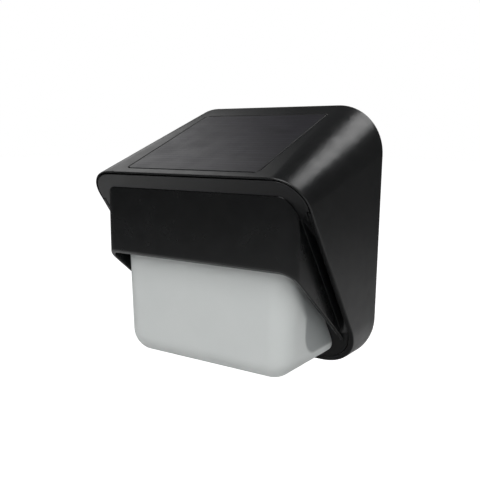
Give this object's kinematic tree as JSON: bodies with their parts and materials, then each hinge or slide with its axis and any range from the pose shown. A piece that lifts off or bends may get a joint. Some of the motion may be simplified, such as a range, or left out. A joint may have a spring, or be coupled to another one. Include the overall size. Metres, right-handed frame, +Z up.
{
  "type": "solar fence light",
  "caption": "Wall-hung solar fence light: wedge hood with a solar panel on its sloping roof, U-shaped visor, frosted diffuser, battery, switch and hook-on wall bracket.",
  "frame": {"origin": "on the wall, midway between the wall bracket's two screw holes", "axes": "+Z up, +Y into the wall, +X to the right of someone who faces the light; the lamp stands out towards -Y"},
  "size_m": [0.112, 0.0724, 0.1186],
  "materials": {
    "black_shell": "satin",
    "black_visor": "satin",
    "frosted_lens": "frosted",
    "solar_cell": "satin",
    "foam": "matte",
    "seal_rubber": "matte",
    "grey_housing": "matte",
    "white_reflector": "satin",
    "board_green": "satin",
    "led": "gloss",
    "chip_black": "matte",
    "coil": "matte",
    "can": "satin",
    "cell": "gloss",
    "contact": "polished",
    "screw_steel": "satin",
    "lead_red": "satin",
    "button_rubber": "matte"
  },
  "bodies": {
    "bracket": {"wall_bracket": "black_shell"},
    "lamp": {"hood_shell": "black_shell", "solar_panel": "solar_cell", "panel_pad": "foam", "front_bezel": "black_shell", "visor": "black_visor", "diffuser": "frosted_lens", "lens_seal": "seal_rubber", "light_housing": "grey_housing", "led_board": "board_green", "leds": "led", "reflector": "white_reflector", "back_cover": "black_shell", "cover_seal": "seal_rubber", "battery_tray": "black_shell", "battery_cell": "cell", "positive_contact": "contact", "spring_contact": "contact", "door_seal": "seal_rubber", "switch_body": "black_shell", "switch_seal": "seal_rubber", "control_board": "board_green", "driver_chip": "chip_black", "charge_coil": "coil", "storage_capacitor": "can", "panel_leads": "lead_red", "led_leads": "lead_red", "battery_leads": "lead_red", "switch_leads": "lead_red", "cover_screws": "screw_steel", "bezel_screws": "screw_steel", "housing_screws": "screw_steel", "led_board_screws": "screw_steel", "control_screws": "screw_steel", "tray_screws": "screw_steel"},
    "door": {"battery_door": "black_shell"},
    "button": {"switch_button": "button_rubber"}
  },
  "joints": [
    {"name": "lamp_lift", "type": "slide", "parent": "bracket", "child": "lamp", "axis": [0, 0, 1], "range_m": [0, 0.008]},
    {"name": "door_hinge", "type": "hinge", "parent": "lamp", "child": "door", "pos_m": [0, -0.0021, -0.0407], "axis": [-1, 0, 0], "range_deg": [0, 95]},
    {"name": "button_press", "type": "slide", "parent": "lamp", "child": "button", "axis": [0, -1, 0], "range_m": [0, 0.0015], "stiffness_N_per_m": 300, "springref_m": -0.001}
  ]
}
